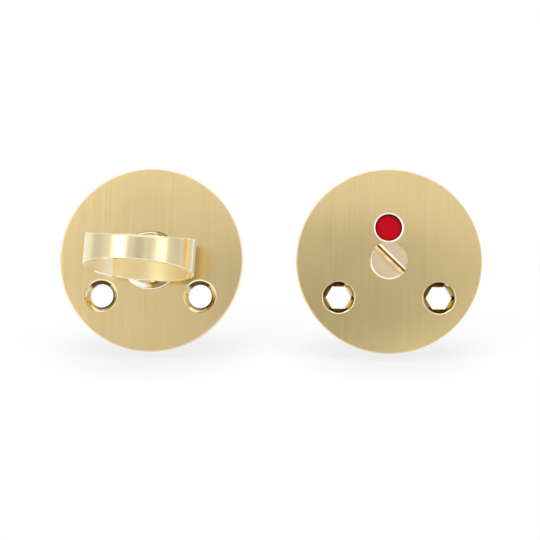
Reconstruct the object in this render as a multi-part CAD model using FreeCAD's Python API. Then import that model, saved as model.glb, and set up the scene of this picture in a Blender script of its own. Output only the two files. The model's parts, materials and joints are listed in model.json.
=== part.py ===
import FreeCAD, Part
import math
import os

from FreeCAD import Vector

# Bathroom thumb turn lock in satin brass, the two halves side by side, in millimetres.
# Left, the inside rose with its ring-shaped thumb turn. Right, the outside rose with
# its occupied window and its slotted release. +X is to the right, +Z is up and the
# fronts face -Y. The origin is on the thumb turn's axis, on the door side of its rose.

# Roses: two round plates alike in blank
rose_radius = 25.0
rose_thickness = 3.0
rose_edge_chamfer = 0.4
halves_spacing = 64.6
screw_spacing = 27.0
screw_drop = 9.9
mouth_radius = 4.5
mouth_lip_width = 0.45
mouth_lip_depth = 0.2

# Inside rose: two countersunk holes for the through screws
screw_hole_radius = 3.2

# Outside rose: two hexagonal holes that hold the sleeve nuts, and a round window
hex_across_flats = 6.0
hex_funnel_depth = 1.7
window_radius = 3.5
window_bevel = 0.65
window_rise = 9.3
front_web_thickness = 1.2

# Thumb turn: a tapered ring on a flared boss, at rest rolled a little clockwise
turn_rest_roll = 3.4
ring_outer_radius = 14.2
ring_wall = 1.4
ring_back_height = 12.4
ring_front_height = 5.5
ring_edge_chamfer = 0.15
ring_standoff = 3.9
flange_radius = 8.2
flange_thickness = 0.9
flange_chamfer = 0.15
neck_radius = 6.6
flare_width = 1.3
flare_height = 1.1
turn_shaft_radius = 5.0

# Drive spindle: a square bar held in the boss by a rolled pin
spindle_width = 5.0
spindle_length = 45.0
spindle_edge_chamfer = 0.35
spindle_end_chamfer = 0.8
spindle_grip = 7.0
pin_radius = 0.75
pin_wall = 0.2
pin_slit = 0.3
pin_cover = 1.3

# Bearing bush in the inside rose
bush_wall = 0.9
bush_flange_width = 1.65
bush_flange_thickness = 0.6

# Release: a low slotted head on a shaft with a square socket
head_radius = 5.15
head_rise = 1.5
head_chamfer = 0.35
slot_angle = -44.0
slot_width = 2.5
slot_offset = 0.4
slot_depth = 0.85
slot_bevel = 0.45
slot_draft = 0.15
slot_crown = 0.14
release_shaft_radius = 4.5
release_flats = 7.8
socket_floor = 1.25
release_tail = 1.2

# Indicator disc behind the window
disc_thickness = 0.8
disc_cover = 0.2

# Curved spring washer, flat washer and retaining ring behind each rose
spring_height = 0.9
spring_stock = 0.3
spring_width = 1.8
washer_thickness = 0.5
washer_width = 2.2
clip_thickness = 1.0
clip_depth = 0.3
clip_back_width = 1.6
clip_front_width = 1.0
clip_lug_radius = 1.25
clip_lug_hole = 0.6
clip_gap = 1.6
shaft_end_chamfer = 0.3

# Clearances
running_clearance = 0.05
axial_clearance = 0.05
washer_clearance = 0.15
socket_clearance = 0.05
disc_clearance = 0.2
bush_flange_clearance = 0.1
slip_clearance = 0.02

# Levels along Y, worked out from the sizes above
rose_front = -rose_thickness
recess_depth = rose_thickness - front_web_thickness
flange_back = rose_front - axial_clearance
flange_front = flange_back - flange_thickness
ring_centre = rose_front - ring_standoff - ring_outer_radius
turn_spring_start = slip_clearance
turn_washer_start = turn_spring_start + spring_height
turn_clip_start = turn_washer_start + washer_thickness
pin_level = turn_clip_start + clip_thickness + pin_cover + pin_radius
turn_shaft_end = pin_level + pin_radius + pin_cover
spindle_start = turn_shaft_end - spindle_grip
disc_start = -recess_depth + axial_clearance
release_spring_start = disc_start + disc_thickness
release_washer_start = release_spring_start + spring_height
release_clip_start = release_washer_start + washer_thickness
release_shaft_end = release_clip_start + clip_thickness + release_tail
head_front = rose_front - head_rise
slot_floor = head_front + slot_depth

# Radii worked out from the sizes above
funnel_radius = mouth_radius - mouth_lip_width
bush_radius = turn_shaft_radius + running_clearance + bush_wall
bush_flange_radius = bush_radius + bush_flange_width
disc_radius = window_rise + window_radius + disc_cover
recess_radius = disc_radius + disc_clearance
overshoot = 1.0

X_AXIS = Vector(1, 0, 0)
Y_AXIS = Vector(0, 1, 0)
Z_AXIS = Vector(0, 0, 1)


def rod(radius, start, end):
    """Cylinder along Y, between two levels."""
    return Part.makeCylinder(radius, end - start, Vector(0, start, 0), Y_AXIS)


def cone(start_radius, end_radius, start, end):
    """Cone along Y, between two levels."""
    return Part.makeCone(start_radius, end_radius, end - start, Vector(0, start, 0), Y_AXIS)


def tube(inner_radius, outer_radius, start, end):
    """Round tube along Y, between two levels."""
    return rod(outer_radius, start, end).cut(rod(inner_radius, start, end))


def square_bar(width, start, end):
    """Square bar along Y, between two levels."""
    corner = Vector(-width / 2, start, -width / 2)
    return Part.makeBox(width, end - start, width, corner)


def rims(shape, radius, level):
    """Round edges of one radius about Y at one level."""
    found = []
    for edge in shape.Edges:
        curve = edge.Curve
        if isinstance(curve, Part.Circle) and abs(curve.Radius - radius) < 1e-6:
            if abs(curve.Center.y - level) < 1e-6 and math.hypot(curve.Center.x, curve.Center.z) < 1e-6:
                found.append(edge)
    return found


def at_screws(shape):
    """The shape at each of the two screw positions."""
    placed = []
    for side in (-1, 1):
        copy = shape.copy()
        copy.translate(Vector(side * screw_spacing / 2, 0, -screw_drop))
        placed.append(copy)
    return placed


def rose_blank():
    """Round plate with a narrow bevel round its front face."""
    plate = rod(rose_radius, rose_front, 0)
    return plate.makeChamfer(rose_edge_chamfer, rims(plate, rose_radius, rose_front))


def mouth(hole_radius, funnel_depth):
    """Round mouth of a hole: a shallow lip, and the funnel from the lip down to the hole."""
    lip_start = mouth_radius + overshoot * mouth_lip_width / mouth_lip_depth
    lip_end = rose_front + mouth_lip_depth
    lip = cone(lip_start, funnel_radius, rose_front - overshoot, lip_end)
    return lip.fuse(cone(funnel_radius, hole_radius, lip_end, lip_end + funnel_depth))


def inside_rose():
    """Rose with a stepped bore for the bush and two countersunk screw holes."""
    hole = rod(screw_hole_radius, rose_front - overshoot, overshoot)
    hole = hole.fuse(mouth(screw_hole_radius, funnel_radius - screw_hole_radius))
    bore = rod(bush_radius, rose_front - overshoot, overshoot)
    step = rod(bush_flange_radius + bush_flange_clearance, -bush_flange_thickness, overshoot)
    return rose_blank().cut([bore, step] + at_screws(hole))


def hexagon_hole():
    """Hexagonal hole with flats above and below, and a round mouth."""
    corner = hex_across_flats / math.sqrt(3)
    points = []
    for index in range(7):
        angle = math.radians(60 * index)
        points.append(Vector(corner * math.cos(angle), rose_front - overshoot, corner * math.sin(angle)))
    prism = Part.Face(Part.makePolygon(points)).extrude(Vector(0, rose_thickness + 2 * overshoot, 0))
    return prism.fuse(mouth(hex_across_flats / 2, hex_funnel_depth))


def window():
    """Round window with a bevel at its front edge."""
    hole = rod(window_radius, rose_front - overshoot, overshoot)
    bevel = cone(window_radius + window_bevel + overshoot, window_radius,
                 rose_front - overshoot, rose_front + window_bevel)
    opening = hole.fuse(bevel)
    opening.translate(Vector(0, 0, window_rise))
    return opening


def outside_rose():
    """Rose with a back recess for the disc, a bore, a window and two hexagonal holes."""
    bore = rod(release_shaft_radius + running_clearance, rose_front - overshoot, overshoot)
    recess = rod(recess_radius, -recess_depth, overshoot)
    return rose_blank().cut([bore, recess, window()] + at_screws(hexagon_hole()))


def taper_wedge():
    """Wedge that gives the ring its height, full at the back and low at the front."""
    slope = (ring_back_height - ring_front_height) / (4 * ring_outer_radius)
    back = ring_centre + ring_outer_radius + overshoot
    front = ring_centre - ring_outer_radius - overshoot
    back_half = ring_back_height / 2 + slope * overshoot
    front_half = ring_front_height / 2 - slope * overshoot
    side = -ring_outer_radius - overshoot
    corners = [
        Vector(side, back, -back_half),
        Vector(side, back, back_half),
        Vector(side, front, front_half),
        Vector(side, front, -front_half),
    ]
    outline = Part.makePolygon(corners + corners[:1])
    return Part.Face(outline).extrude(Vector(-2 * side, 0, 0))


def ring_cylinder(radius):
    """Upright cylinder about the ring's own axis."""
    height = ring_back_height + 2 * overshoot
    return Part.makeCylinder(radius, height, Vector(0, ring_centre, -height / 2), Z_AXIS)


def turn_ring():
    """Finger ring cut from tube, tapered towards the front, all its rims bevelled."""
    band = ring_cylinder(ring_outer_radius).cut(ring_cylinder(ring_outer_radius - ring_wall))
    band = band.common(taper_wedge())
    ring_rims = [edge for edge in band.Edges if not isinstance(edge.Curve, Part.Line)]
    return band.makeChamfer(ring_edge_chamfer, ring_rims)


def boss_profile():
    """Half section of the boss: shaft, flange, flare and neck."""
    points = [
        Vector(0, turn_shaft_end, 0),
        Vector(turn_shaft_radius, turn_shaft_end, 0),
        Vector(turn_shaft_radius, flange_back, 0),
        Vector(flange_radius, flange_back, 0),
        Vector(flange_radius, flange_front, 0),
        Vector(neck_radius + flare_width, flange_front, 0),
        Vector(neck_radius, flange_front - flare_height, 0),
        Vector(neck_radius, ring_centre, 0),
        Vector(0, ring_centre, 0),
    ]
    return Part.Face(Part.makePolygon(points + points[:1]))


def clip_groove(shaft_radius, start):
    """Groove that the retaining ring snaps into."""
    return tube(shaft_radius - clip_depth, shaft_radius + overshoot, start, start + clip_thickness)


def turn_hub():
    """Turned boss, saddled to the ring, with its shaft grooved, socketed and cross-drilled."""
    boss = boss_profile().revolve(Vector(0, 0, 0), Y_AXIS, 360)
    boss = boss.makeChamfer(flange_chamfer, rims(boss, flange_radius, flange_front))
    boss = boss.makeChamfer(shaft_end_chamfer, rims(boss, turn_shaft_radius, turn_shaft_end))
    socket = square_bar(spindle_width + 2 * socket_clearance, spindle_start, turn_shaft_end + overshoot)
    drilled = pin_blank(turn_shaft_radius + overshoot)
    groove = clip_groove(turn_shaft_radius, turn_clip_start)
    return boss.cut([ring_cylinder(ring_outer_radius), socket, groove, drilled])


def pin_blank(half_length):
    """Solid pin across the shaft."""
    start = Vector(-half_length, pin_level, 0)
    return Part.makeCylinder(pin_radius, 2 * half_length, start, X_AXIS)


def drive_spindle():
    """Square bar with broken edges, a turned free end and a cross hole for the pin."""
    end = spindle_start + spindle_length
    bar = square_bar(spindle_width, spindle_start, end)
    long_edges = [edge for edge in bar.Edges if abs(edge.Length - spindle_length) < 1e-6]
    bar = bar.makeChamfer(spindle_edge_chamfer, long_edges)
    corner = math.hypot(spindle_width / 2, spindle_width / 2 - spindle_edge_chamfer)
    turned = rod(corner, spindle_start, end - spindle_end_chamfer)
    turned = turned.fuse(cone(corner, corner - spindle_end_chamfer, end - spindle_end_chamfer, end))
    return bar.common(turned).cut(pin_blank(spindle_width))


def spindle_pin():
    """Rolled spring pin with its slit, flush with the shaft."""
    half_length = math.sqrt(turn_shaft_radius ** 2 - pin_radius ** 2)
    start = Vector(-half_length, pin_level, 0)
    core = Part.makeCylinder(pin_radius - pin_wall, 2 * half_length, start, X_AXIS)
    corner = Vector(-half_length, pin_level, -pin_slit / 2)
    slit = Part.makeBox(2 * half_length, pin_radius + overshoot, pin_slit, corner)
    return pin_blank(half_length).cut([core, slit])


def bearing_bush():
    """Flanged bush pressed into the inside rose from behind, its flange let in flush."""
    bore_radius = turn_shaft_radius + running_clearance
    sleeve = tube(bore_radius, bush_radius, rose_front, 0)
    flange = tube(bore_radius, bush_flange_radius, -bush_flange_thickness, 0)
    return sleeve.fuse(flange).removeSplitter()


def slot_cutter():
    """Coin slot with a long crowned slope and a steep bevelled side, turned to its angle."""
    reach = head_radius + overshoot
    above = head_front - overshoot
    long_edge = slot_offset - slot_width / 2
    steep_edge = slot_offset + slot_width / 2
    slope_start = Vector(-reach, head_front, long_edge)
    slope_end = Vector(-reach, slot_floor, steep_edge - slot_bevel - slot_draft)
    outward = (slope_end - slope_start).cross(X_AXIS).normalize()
    crown = (slope_start + slope_end) * 0.5 - outward * slot_crown
    slope = Part.Arc(slope_start, crown, slope_end).toShape()
    sides = Part.makePolygon([
        slope_end,
        Vector(-reach, head_front + slot_bevel, steep_edge - slot_bevel),
        Vector(-reach, head_front, steep_edge),
        Vector(-reach, above, steep_edge),
        Vector(-reach, above, long_edge),
        slope_start,
    ])
    outline = Part.Wire([slope] + sides.Edges)
    cutter = Part.Face(outline).extrude(Vector(2 * reach, 0, 0))
    cutter.rotate(Vector(0, 0, 0), Y_AXIS, -slot_angle)
    return cutter


def shaft_flats(clearance):
    """Bar that gives the release shaft, and the disc's hole, their two flats."""
    width = release_flats + 2 * clearance
    reach = release_shaft_radius + overshoot
    corner = Vector(-reach, -recess_depth, -width / 2)
    return Part.makeBox(2 * reach, release_shaft_end + overshoot + recess_depth, width, corner)


def release_button():
    """Slotted head on a flatted shaft, with a square socket for the spindle."""
    head_back = rose_front - axial_clearance
    head = rod(head_radius, head_front, head_back)
    head = head.makeChamfer(head_chamfer, rims(head, head_radius, head_front))
    bearing = rod(release_shaft_radius, head_back, -recess_depth)
    tail = rod(release_shaft_radius, -recess_depth, release_shaft_end)
    tail = tail.makeChamfer(shaft_end_chamfer, rims(tail, release_shaft_radius, release_shaft_end))
    tail = tail.common(shaft_flats(0))
    socket = square_bar(spindle_width + 2 * socket_clearance, slot_floor + socket_floor,
                        release_shaft_end + overshoot)
    groove = clip_groove(release_shaft_radius, release_clip_start)
    return head.fuse([bearing, tail]).cut([slot_cutter(), socket, groove])


def indicator_disc():
    """Thin two-colour disc, its hole flatted to turn with the release shaft."""
    disc_end = disc_start + disc_thickness
    hole = rod(release_shaft_radius + socket_clearance, -recess_depth, disc_end + overshoot)
    return rod(disc_radius, disc_start, disc_end).cut(hole.common(shaft_flats(socket_clearance)))


def spring_washer(shaft_radius, start):
    """Curved spring washer: a flat ring bent to an arc, as tall as the gap that it fills."""
    inner = shaft_radius + washer_clearance
    outer = inner + spring_width
    sag = spring_height - spring_stock
    bend_radius = (outer ** 2 + sag ** 2) / (2 * sag)
    reach = outer + overshoot
    bend_centre = Vector(-reach, start + spring_stock + bend_radius, 0)
    bent = Part.makeCylinder(bend_radius + spring_stock, 2 * reach, bend_centre, X_AXIS)
    bent = bent.cut(Part.makeCylinder(bend_radius, 2 * reach, bend_centre, X_AXIS))
    return tube(inner, outer, start - overshoot, start + spring_height + overshoot).common(bent)


def flat_washer(shaft_radius, start):
    """Plain washer round the shaft."""
    inner = shaft_radius + washer_clearance
    return tube(inner, inner + washer_width, start, start + washer_thickness)


def retaining_ring(shaft_radius, start):
    """Snap ring, deepest opposite its gap, with two drilled lugs."""
    end = start + clip_thickness
    inner = shaft_radius - clip_depth
    offset = (clip_back_width - clip_front_width) / 2
    body = rod(inner + (clip_back_width + clip_front_width) / 2, start, end)
    body.translate(Vector(0, 0, offset))
    lug_reach = inner + clip_lug_radius
    lug_angle = math.asin((clip_gap / 2 + clip_lug_radius * 0.8) / lug_reach)
    lugs = []
    holes = []
    for side in (-1, 1):
        place = Vector(side * lug_reach * math.sin(lug_angle), 0, -lug_reach * math.cos(lug_angle))
        lug = rod(clip_lug_radius, start, end)
        lug.translate(place)
        lugs.append(lug)
        hole = rod(clip_lug_hole, start - overshoot, end + overshoot)
        hole.translate(place)
        holes.append(hole)
    reach = lug_reach + 2 * clip_lug_radius
    gap = Part.makeBox(clip_gap, clip_thickness + 2 * overshoot, reach,
                       Vector(-clip_gap / 2, start - overshoot, -reach))
    bore = rod(inner, start - overshoot, end + overshoot)
    return body.fuse(lugs).cut([bore, gap] + holes).removeSplitter()


def rolled(shape):
    """The shape turned with the thumb turn's resting roll."""
    shape.rotate(Vector(0, 0, 0), Y_AXIS, turn_rest_roll)
    return shape


def on_outside(shape):
    """The shape moved to the outside half's axis."""
    shape.translate(Vector(halves_spacing, 0, 0))
    return shape


nodes = {
    "inside_rose": inside_rose(),
    "bearing_bush": bearing_bush(),
    "turn_ring": rolled(turn_ring()),
    "turn_hub": rolled(turn_hub()),
    "drive_spindle": rolled(drive_spindle()),
    "spindle_pin": rolled(spindle_pin()),
    "turn_spring_washer": rolled(spring_washer(turn_shaft_radius, turn_spring_start)),
    "turn_flat_washer": rolled(flat_washer(turn_shaft_radius, turn_washer_start)),
    "turn_retaining_ring": rolled(retaining_ring(turn_shaft_radius, turn_clip_start)),
    "outside_rose": on_outside(outside_rose()),
    "release_button": on_outside(release_button()),
    "indicator_disc": on_outside(indicator_disc()),
    "release_spring_washer": on_outside(spring_washer(release_shaft_radius, release_spring_start)),
    "release_flat_washer": on_outside(flat_washer(release_shaft_radius, release_washer_start)),
    "release_retaining_ring": on_outside(retaining_ring(release_shaft_radius, release_clip_start)),
}

os.makedirs("parts", exist_ok=True)
for name, shape in nodes.items():
    shape.exportStep("parts/" + name + ".step")
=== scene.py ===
"""Satin brass bathroom lock: a ring thumb turn and an indicator release, side by side on white."""

import json
import math

import bmesh
import bpy
from bpy.props import FloatProperty, FloatVectorProperty, PointerProperty
from bpy.types import Operator, Panel, PropertyGroup
from mathutils import Matrix, Quaternion, Vector


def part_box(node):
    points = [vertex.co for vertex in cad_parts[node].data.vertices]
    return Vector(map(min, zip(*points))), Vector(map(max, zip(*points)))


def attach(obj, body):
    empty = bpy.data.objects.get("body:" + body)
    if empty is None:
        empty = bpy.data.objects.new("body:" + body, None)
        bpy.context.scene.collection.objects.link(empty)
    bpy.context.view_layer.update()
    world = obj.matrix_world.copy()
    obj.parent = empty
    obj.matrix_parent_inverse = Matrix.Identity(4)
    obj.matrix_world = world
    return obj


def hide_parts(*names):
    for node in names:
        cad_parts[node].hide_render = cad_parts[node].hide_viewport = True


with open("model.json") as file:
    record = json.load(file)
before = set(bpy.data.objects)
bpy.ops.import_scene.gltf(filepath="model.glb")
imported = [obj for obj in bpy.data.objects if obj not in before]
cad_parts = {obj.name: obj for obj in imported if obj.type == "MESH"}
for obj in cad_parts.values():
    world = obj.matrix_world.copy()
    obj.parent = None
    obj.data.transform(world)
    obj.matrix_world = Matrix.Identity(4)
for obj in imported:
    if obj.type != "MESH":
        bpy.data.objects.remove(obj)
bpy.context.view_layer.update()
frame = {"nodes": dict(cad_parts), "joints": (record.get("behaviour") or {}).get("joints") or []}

bl_info = {
    "name": "Bathroom Thumb Turn Lock",
    "version": (1, 0, 0),
    "blender": (4, 5, 0),
    "location": "3D View > Sidebar > Thumb Turn Lock",
    "description": "Models a brass thumb turn and its indicator release round their CAD frame",
    "category": "Object",
}

MM = 0.001

# The CAD model's own sizes
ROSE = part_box("inside_rose")
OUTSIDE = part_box("outside_rose")
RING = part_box("turn_ring")
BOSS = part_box("turn_hub")
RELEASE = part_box("release_button")
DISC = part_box("indicator_disc")
TURN_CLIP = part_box("turn_retaining_ring")
RELEASE_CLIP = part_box("release_retaining_ring")
RING_CENTRE = (RING[0].y + RING[1].y) / 2
DISC_RADIUS = (DISC[1].x - DISC[0].x) / 2
RANGES = {joint["name"]: joint["range_deg"] for joint in frame["joints"]}
REST_TURN = math.radians(RANGES["thumb_turn_hinge"][1])

# Modelling
OVERSHOOT = 1.0 * MM
WELD = 0.001 * MM
TOUCH = 0.002 * MM
SHARP_ANGLE = math.radians(32)
FLAT_ANGLE = math.radians(0.05)
FINE_STEPS = 192
SMALL_STEPS = 96
PIN_STEPS = 32
SLOPE_STEPS = 16
RIM_SLANT = 0.3
Y_AXIS = Vector((0, 1, 0))
Z_AXIS = Vector((0, 0, 1))

# Painted highlights, reflections and shade, as patches of another tint round an axis: the clock
# angle of the middle in degrees, the cosines of the angles from there where it starts and where it
# is whole, and the name of its colour
# Painted highlight on the upper side of each screw lip
PAINTED_HIGHLIGHT_SCREW_LIP = [(15, 0.1, 0.7, "lip_highlight_brass")]
# Painted glints at the lower left and lower right and a painted dark arc at the top of each
# countersink
PAINTED_LIGHT_SCREW_HOLE = [(240, 0.90, 0.97, "painted_glint_gold"), (122, 0.86, 0.96, "painted_shade_brown"),
              (-3, 0.62, 0.78, "painted_hole_shade")]
# Painted shade over the top of each nut lip
PAINTED_SHADE_NUT_LIP = [(0, -0.2, 0.6, "lip_brass")]
# Painted glint at the lower right, painted brown shade at the left and a painted pale highlight at
# the upper right of each nut hole
PAINTED_LIGHT_NUT_HOLE = [(122, 0.88, 0.97, "painted_glint_gold"), (250, 0.80, 0.97, "painted_shade_brown"),
            (55, 0.82, 0.92, "inner_brass")]
# Painted reflections on the ring's outside: a darker strip and two bright strips at its side
PAINTED_LIGHT_BAND_OUTSIDE = [(125, 0.86, 0.97, "lip_brass"), (69, 0.984, 0.996, "nut_lip_painted_light"),
                (87, 0.980, 0.992, "highlight_white")]
# Painted pale reflection inside the ring
PAINTED_LIGHT_BAND_INSIDE = [(254, 0.84, 0.87, "highlight_white")]
# Painted shade at the top of the boss and in two brown patches, and a painted highlight at its lower
# left
PAINTED_LIGHT_BOSS_FACE = [(0, 0.3, 0.8, "lip_brass"), (207, 0.90, 0.97, "highlight_white"),
             (160, 0.93, 0.98, "painted_shade_brown"), (28, 0.95, 0.985, "painted_shade_brown")]
# Painted shade at the top of the flange's rim
PAINTED_SHADE_FLANGE_RIM = [(20, 0.0, 0.7, "lip_brass")]
# Painted highlight on the lower left of the head's rim
PAINTED_HIGHLIGHT_HEAD_RIM = [(198, 0.0, 0.6, "highlight_white")]
PATCH_FRAY = 0.12

# Floor: its half width, tint, where it fades out, and the painted shadow at the foot of each rose:
# its tint, how far behind the foot it lies, and where it fades
FLOOR_TOP = ROSE[0].z - 1.5 * MM
FLOOR_HALF = 0.5
FLOOR_TINT = (0.95, 0.965, 0.98, 1.0)
FLOOR_FADE = (90 * MM, 220 * MM)
PAINTED_FOOT_SHADOW_TINT = (0.91, 0.915, 0.94, 1.0)
PAINTED_FOOT_SHADOW_BACK = 8 * MM
PAINTED_FOOT_SHADOW_FADE = (34 * MM, 12 * MM)

# Softboxes: azimuth, half width and light of each, then what they share
SOFTBOXES = [(-34, 0.25, "left_box"), (54, 0.19, "right_box")]
BOX_ELEVATION = math.radians(8)
BOX_HALF_HEIGHT = 0.6
BOX_FADE = (1.2, 0.7)

# Lamp
LAMP_ELEVATION = math.radians(62)
LAMP_DISTANCE = 0.45
LAMP_SIZE = (0.5, 0.22)

# What stands round the camera: place from the camera, radii and shade
STANDING = {
    "camera_body": ((0, -0.03, 0.012), (0.025, 0.02, 0.022), "camera_dark"),
    "photographer": ((0.010, -0.13, 0.053), (0.085, 0.05, 0.047), "person_dark"),
    "left_stand": ((-0.115, -0.13, 0.045), (0.075, 0.04, 0.07), "stand_dark"),
    "right_stand": ((0.164, -0.13, 0.063), (0.05, 0.03, 0.08), "stand_dark"),
}


def length(name, description, default):
    """A size in metres that a user may change."""
    return FloatProperty(name=name, description=description, default=default, min=0.0,
                         precision=5, unit="LENGTH", subtype="DISTANCE")


def angle(name, description, degrees):
    """An angle that a user may change."""
    return FloatProperty(name=name, description=description, default=math.radians(degrees),
                         unit="ROTATION", subtype="ANGLE")


def colour(name, description, default):
    """A linear colour that a user may change."""
    return FloatVectorProperty(name=name, description=description, default=default,
                               size=3, min=0.0, max=1.0, subtype="COLOR")


def level(name, description, default):
    """A plain number that a user may change."""
    return FloatProperty(name=name, description=description, default=default, min=0.0)


class LockSizes(PropertyGroup):
    """Sizes of the roses, the thumb turn and the release."""

    rose_radius: length("Rose radius", "Half the width of each rose", (ROSE[1].x - ROSE[0].x) / 2)
    rose_thickness: length("Rose thickness", "Thickness of a rose", ROSE[1].y - ROSE[0].y)
    rose_edge: length("Rose edge", "Rounding of the rose's front edge", 0.3 * MM)
    halves: length("Halves", "Between the two axes", (OUTSIDE[0].x + OUTSIDE[1].x) / 2)
    screw_spacing: length("Screw spacing", "Distance between the two screws", 27.0 * MM)
    screw_drop: length("Screw drop", "Screws below the axis", 9.9 * MM)
    screw_hole: length("Screw hole", "Radius of the screw hole", 3.2 * MM)
    mouth: length("Mouth", "Radius where a hole meets the front", 4.5 * MM)
    mouth_edge: length("Mouth edge", "Rounding of a mouth and of the disc", 0.08 * MM)
    lip_width: length("Lip width", "Width of the shallow lip round a mouth", 0.36 * MM)
    lip_depth: length("Lip depth", "Depth of the shallow lip", 0.2 * MM)
    bush_bore: length("Bush bore", "Radius of the bore for the bush", 5.95 * MM)
    bush_step: length("Bush step", "Radius of the step for the bush's flange", 7.7 * MM)
    bush_step_depth: length("Bush step depth", "Depth of the step behind the rose", 0.6 * MM)
    hex_flats: length("Hexagon", "Nut hole across its flats", 6.0 * MM)
    hex_funnel: length("Hexagon funnel", "Depth of the nut hole's funnel", 1.7 * MM)
    window: length("Window", "Radius of the indicator window", 3.68 * MM)
    window_bevel: length("Window bevel", "Width of the bevel round the window", 0.46 * MM)
    window_bevel_depth: length("Window bevel depth", "Depth of that bevel", 0.26 * MM)
    window_rise: length("Window rise", "Window above the axis", 9.08 * MM)
    front_web: length("Front web", "Rose left in front of the disc", 1.2 * MM)
    disc_gap: length("Disc gap", "Gap round the indicator disc", 0.2 * MM)

    ring_radius: length("Ring radius", "Outer radius of the ring", (RING[1].y - RING[0].y) / 2)
    ring_wall: length("Ring wall", "Thickness of the band", 1.4 * MM)
    ring_back: length("Ring back", "Height of the band at the boss", 12.4 * MM)
    ring_front: length("Ring front", "Height of the band at the front", 5.5 * MM)
    ring_edge: length("Ring edge", "Rounding of the band's rims", 0.14 * MM)
    flange: length("Flange", "Radius of the boss's flange", 8.2 * MM)
    flange_thickness: length("Flange thickness", "Thickness of the flange", 0.9 * MM)
    flange_edge: length("Flange edge", "Rounding of the flange's front edge", 0.3 * MM)
    neck: length("Neck", "Radius of the boss's neck", 6.6 * MM)
    flare: length("Flare", "Hollow fillet between neck and flange", 1.25 * MM)
    turn_shaft: length("Turn shaft", "Radius of the thumb turn's shaft", 5.0 * MM)
    play: length("Play", "Running play between pieces", 0.05 * MM)

    head: length("Head", "Radius of the release's head", 5.15 * MM)
    head_edge: length("Head edge", "Rounding of the head's front edge", 0.5 * MM)
    slot_width: length("Slot width", "Width of the coin slot at the face", 2.5 * MM)
    slot_offset: length("Slot offset", "Slot's middle from the head's axis", 0.4 * MM)
    slot_depth: length("Slot depth", "Depth of the coin slot", 0.85 * MM)
    slot_bevel: length("Slot bevel", "Width of the steep side's bevel", 0.5 * MM)
    slot_bevel_depth: length("Slot bevel depth", "Depth of that bevel", 0.2 * MM)
    slot_draft: length("Slot draft", "Lean of the slot's steep side", 0.12 * MM)
    slot_crown: length("Slot crown", "Crown of the slot's long slope", 0.14 * MM)
    slot_angle: angle("Slot angle", "Coin slot's fall to the right", 44.0)
    release_shaft: length("Release shaft", "Radius of the release's shaft", 4.5 * MM)
    release_flats: length("Release flats", "Width across the shaft's two flats", 7.8 * MM)
    socket_floor: length("Socket floor", "Metal between coin slot and socket", 1.25 * MM)

    spindle: length("Spindle", "Width of the square spindle", 5.0 * MM)
    grip: length("Grip", "Depth of the spindle in the boss", 7.0 * MM)
    pin: length("Pin", "Radius of the pin across the boss", 0.75 * MM)
    clip_depth: length("Clip depth", "Depth of the retaining ring's groove", 0.3 * MM)
    shaft_edge: length("Shaft edge", "Bevel at the shafts' ends", 0.3 * MM)


class LockColours(PropertyGroup):
    """Colours of the metals, the plastic and the indicator, with the highlights and shade painted on
    them.
    """

    rose_brass: colour("Rose brass", "Satin brass of the roses", (0.84, 0.65, 0.315))
    turn_brass: colour("Turn brass", "Pale satin brass of the ring", (0.89, 0.77, 0.46))
    # Also used as a painted highlight in the nut holes
    inner_brass: colour("Inner brass", "Satin brass inside the ring", (0.90, 0.76, 0.43))
    boss_brass: colour("Boss brass", "Turned brass of the boss", (0.84, 0.66, 0.33))
    release_brass: colour("Release brass", "Faced brass of the head", (0.85, 0.665, 0.42))
    bright_brass: colour("Bright brass", "Cut brass of bores and grooves", (0.86, 0.66, 0.29))
    # Painted highlight on rims and bevels, and as patches on the ring and the boss
    highlight_white: colour("Bright rim", "Brightest rims and bevels", (1.0, 0.97, 0.88))
    # Painted shade on the head's rim and at the coin slot's edge
    rim_brass: colour("Rim brass", "Rim of the head that blends in", (0.66, 0.50, 0.32))
    # Painted highlight on the bright side of the screw lips
    lip_highlight_brass: colour("Pale brass", "Bright side of the screw lips", (0.96, 0.90, 0.72))
    # Painted shade: the darker side of every lip, and darker patches on the ring, the boss and the
    # flange's rim
    lip_brass: colour("Lip brass", "Side of a lip that blends in", (0.56, 0.45, 0.26))
    # Painted highlight: the pale nut lips and a bright strip at the ring's side
    nut_lip_painted_light: colour("Nut lip brass", "Lips of the nut holes", (0.72, 0.63, 0.44))
    cone_brass: colour("Cone brass", "Raw brass of the countersinks", (0.72, 0.58, 0.31))
    # Painted golden glints in the holes
    painted_glint_gold: colour("Gold brass", "Golden patches in the holes", (0.78, 0.52, 0.13))
    # Painted light deeper down the coin slot's long slope
    slope_painted_light: colour("Slope brass", "Long slope of the coin slot", (0.86, 0.62, 0.28))
    # Painted brown shade in the holes, on the boss and on the coin slot's steep side
    painted_shade_brown: colour("Brown brass", "Brown patches and steep sides", (0.34, 0.22, 0.06))
    # Painted dark shade in the nut holes and in an arc at the top of each countersink
    painted_hole_shade: colour("Dark brass", "Brass gone dark in the holes", (0.12, 0.062, 0.012))
    occupied: colour("Occupied", "Field shown when locked", (0.49, 0.002, 0.009))
    vacant: colour("Vacant", "Field shown when free", (0.84, 0.84, 0.82))
    spring_steel: colour("Spring steel", "Washers, pin and clips", (0.55, 0.55, 0.56))
    spindle_steel: colour("Spindle steel", "Zinc plated spindle", (0.62, 0.62, 0.63))
    nylon: colour("Nylon", "Natural nylon of the bush", (0.80, 0.79, 0.72))


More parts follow.
